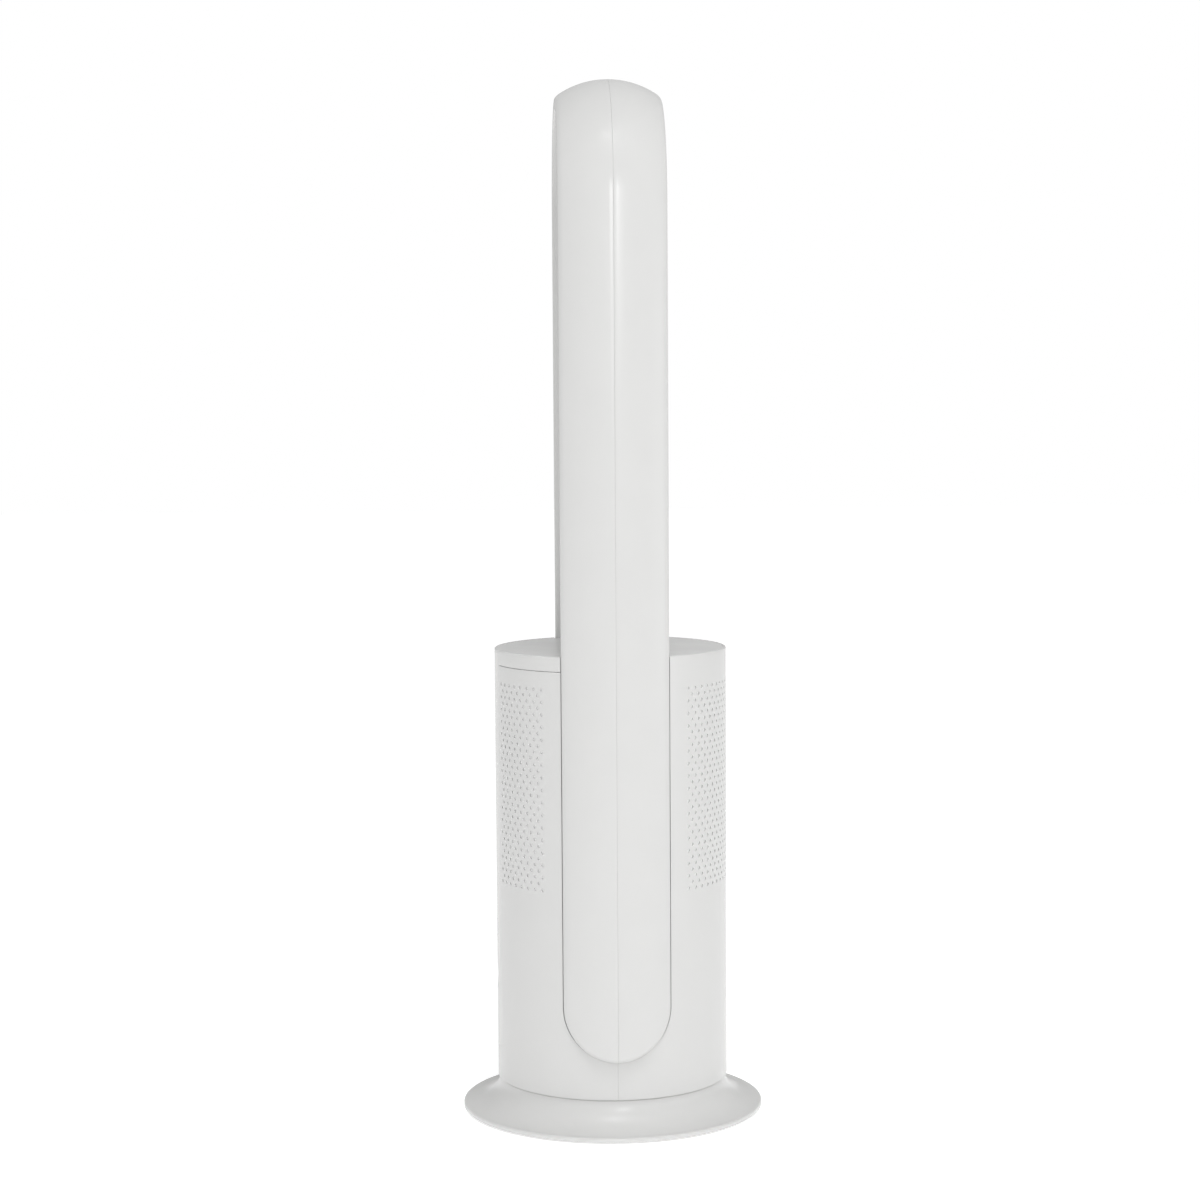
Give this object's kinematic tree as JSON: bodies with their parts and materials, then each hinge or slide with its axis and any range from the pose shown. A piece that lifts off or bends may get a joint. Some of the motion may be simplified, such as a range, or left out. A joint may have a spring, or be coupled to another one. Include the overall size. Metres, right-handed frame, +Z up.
{
  "type": "tower fan",
  "caption": "Bladeless tower fan: round flared base, swinging perforated body and a tall air loop with an open middle.",
  "frame": {"origin": "middle of the base at floor level, under the axis the body swings about", "axes": "+Z up, -Y towards the front where the air comes out, +X towards one leg of the loop"},
  "size_m": [0.28, 0.28, 0.953],
  "materials": {
    "white_abs": "satin moulded white ABS",
    "button_abs": "satin moulded pale grey ABS",
    "inner_plastic": "moulded grey polypropylene",
    "dust_mesh": "woven polyester mesh",
    "gear_plastic": "moulded natural acetal",
    "rubber": "black moulded rubber",
    "steel": "zinc plated steel",
    "ballast_steel": "primed steel plate",
    "laminations": "stacked electrical steel",
    "magnet": "sintered ferrite",
    "copper": "enamelled copper wire",
    "circuit_board": "green glass epoxy board",
    "component_black": "black moulded component cases",
    "smoked_lens": "polished smoked polycarbonate"
  },
  "bodies": {
    "base": {"base_plate": "white_abs", "base_underplate": "inner_plastic", "base_screws": "steel", "rubber_feet": "rubber", "ballast_ring": "ballast_steel", "pivot_hub": "gear_plastic", "glide_ring": "gear_plastic", "fixed_gear": "gear_plastic", "gear_retainer": "steel", "hub_screws": "steel"},
    "rotor": {"impeller": "inner_plastic", "impeller_nut": "steel", "motor_shaft": "steel", "rotor_can": "steel", "rotor_magnet": "magnet"},
    "button": {"power_button": "button_abs"},
    "drive": {"drive_pinion": "gear_plastic", "pinion_shaft": "steel"},
    "tower": {"body_floor": "inner_plastic", "oscillation_motor": "steel", "position_sensor": "component_black", "shell_screws": "steel", "front_shell": "white_abs", "rear_shell": "white_abs", "front_panel": "white_abs", "top_cap": "white_abs", "rear_screen": "white_abs", "front_right_screen": "white_abs", "front_left_screen": "white_abs", "rear_dust_mesh": "dust_mesh", "front_dust_mesh": "dust_mesh", "loop_front_shell": "white_abs", "loop_rear_shell": "white_abs", "loop_inner_band": "white_abs", "loop_screws": "steel", "fan_stand": "inner_plastic", "fan_shroud": "inner_plastic", "diffuser": "inner_plastic", "tail_cone": "inner_plastic", "plenum": "inner_plastic", "leg_seals": "rubber", "motor_mount": "steel", "motor_bearings": "steel", "motor_stator": "laminations", "motor_windings": "copper", "motor_driver_board": "circuit_board", "motor_isolators": "rubber", "motor_screws": "steel", "control_board": "circuit_board", "board_screws": "steel", "tact_switch": "component_black", "display_lens": "smoked_lens", "display_module": "component_black", "power_board": "circuit_board", "board_components": "component_black", "power_inlet": "component_black", "inlet_pins": "steel"}
  },
  "joints": [
    {"name": "oscillation", "type": "hinge", "parent": "base", "child": "tower", "pos_m": [0, 0, 0.031], "axis": [0, 0, 1], "range_deg": [-40, 40]},
    {"name": "impeller_spin", "type": "hinge", "parent": "tower", "child": "rotor", "pos_m": [0, 0, 0.2], "axis": [0, 0, 1], "continuous": true},
    {"name": "power_button_press", "type": "slide", "parent": "tower", "child": "button", "axis": [0, 1, 0], "range_m": [0, 0.0012], "stiffness_N_per_m": 900, "springref_m": -0.0005},
    {"name": "drive_spin", "type": "hinge", "parent": "tower", "child": "drive", "pos_m": [0, 0.036, 0.047], "axis": [0, 0, 1], "range_deg": [-121, 121]}
  ],
  "couplings": [
    {"joint": "drive_spin", "follows": "oscillation", "ratio": 3}
  ]
}
